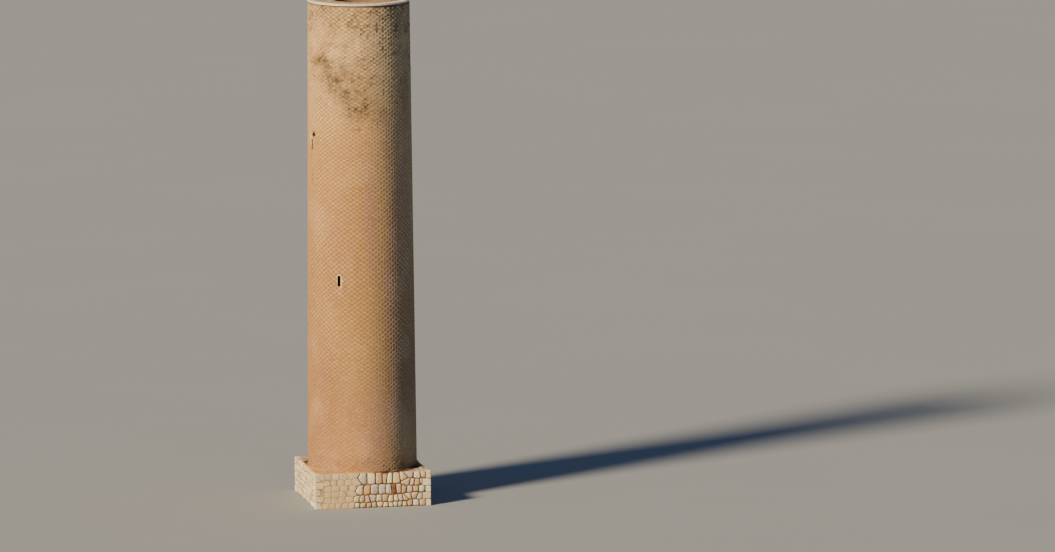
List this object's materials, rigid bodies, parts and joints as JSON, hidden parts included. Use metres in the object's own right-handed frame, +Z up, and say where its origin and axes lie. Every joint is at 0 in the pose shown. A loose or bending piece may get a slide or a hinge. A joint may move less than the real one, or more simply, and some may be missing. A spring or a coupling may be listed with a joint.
{
  "type": "round brick minaret on a square stone plinth",
  "caption": "Tall, slightly tapering round brick tower, hollow, with slit windows, an arched doorway at the back, a pale coping and a square stone plinth.",
  "frame": {"origin": "middle of the square plinth's foot, at ground level", "axes": "+Z up along the tower's axis, the plinth's front faces -Y and the doorway is on the +Y side"},
  "size_m": [6, 6, 25.71],
  "materials": {
    "brickwork": "matte",
    "plinth_stone": "matte",
    "rubble_fill": "matte",
    "ledge_bedding": "matte",
    "coping_stone": "matte",
    "floor_brick": "matte"
  },
  "bodies": {
    "root": {"coping_slab_1": "coping_stone", "coping_slab_2": "coping_stone", "coping_slab_3": "coping_stone", "coping_slab_4": "coping_stone", "coping_slab_5": "coping_stone", "coping_slab_6": "coping_stone", "doorway_arch": "brickwork", "doorway_left_pier": "brickwork", "doorway_right_pier": "brickwork", "doorway_threshold": "plinth_stone", "ledge_back_left": "ledge_bedding", "ledge_back_right": "ledge_bedding", "ledge_front_left": "ledge_bedding", "ledge_front_right": "ledge_bedding", "plinth_back_wall": "plinth_stone", "plinth_front_wall": "plinth_stone", "plinth_left_wall": "plinth_stone", "plinth_right_wall": "plinth_stone", "plinth_rubble_fill": "rubble_fill", "shaft_lift_1_over_doorway": "brickwork", "shaft_lift_1_segment_1": "brickwork", "shaft_lift_1_segment_2": "brickwork", "shaft_lift_1_segment_3": "brickwork", "shaft_lift_1_segment_4": "brickwork", "shaft_lift_1_segment_5": "brickwork", "shaft_lift_2_segment_1": "brickwork", "shaft_lift_2_segment_2": "brickwork", "shaft_lift_2_segment_3": "brickwork", "shaft_lift_2_segment_4": "brickwork", "shaft_lift_2_segment_5": "brickwork", "shaft_lift_2_segment_6": "brickwork", "shaft_lift_3_segment_1": "brickwork", "shaft_lift_3_segment_2": "brickwork", "shaft_lift_3_segment_3": "brickwork", "shaft_lift_3_segment_4": "brickwork", "shaft_lift_3_segment_5": "brickwork", "shaft_lift_3_segment_6": "brickwork", "shaft_lift_4_segment_1": "brickwork", "shaft_lift_4_segment_2": "brickwork", "shaft_lift_4_segment_3": "brickwork", "shaft_lift_4_segment_4": "brickwork", "shaft_lift_4_segment_5": "brickwork", "shaft_lift_4_segment_6": "brickwork", "well_floor": "floor_brick"}
  },
  "joints": []
}
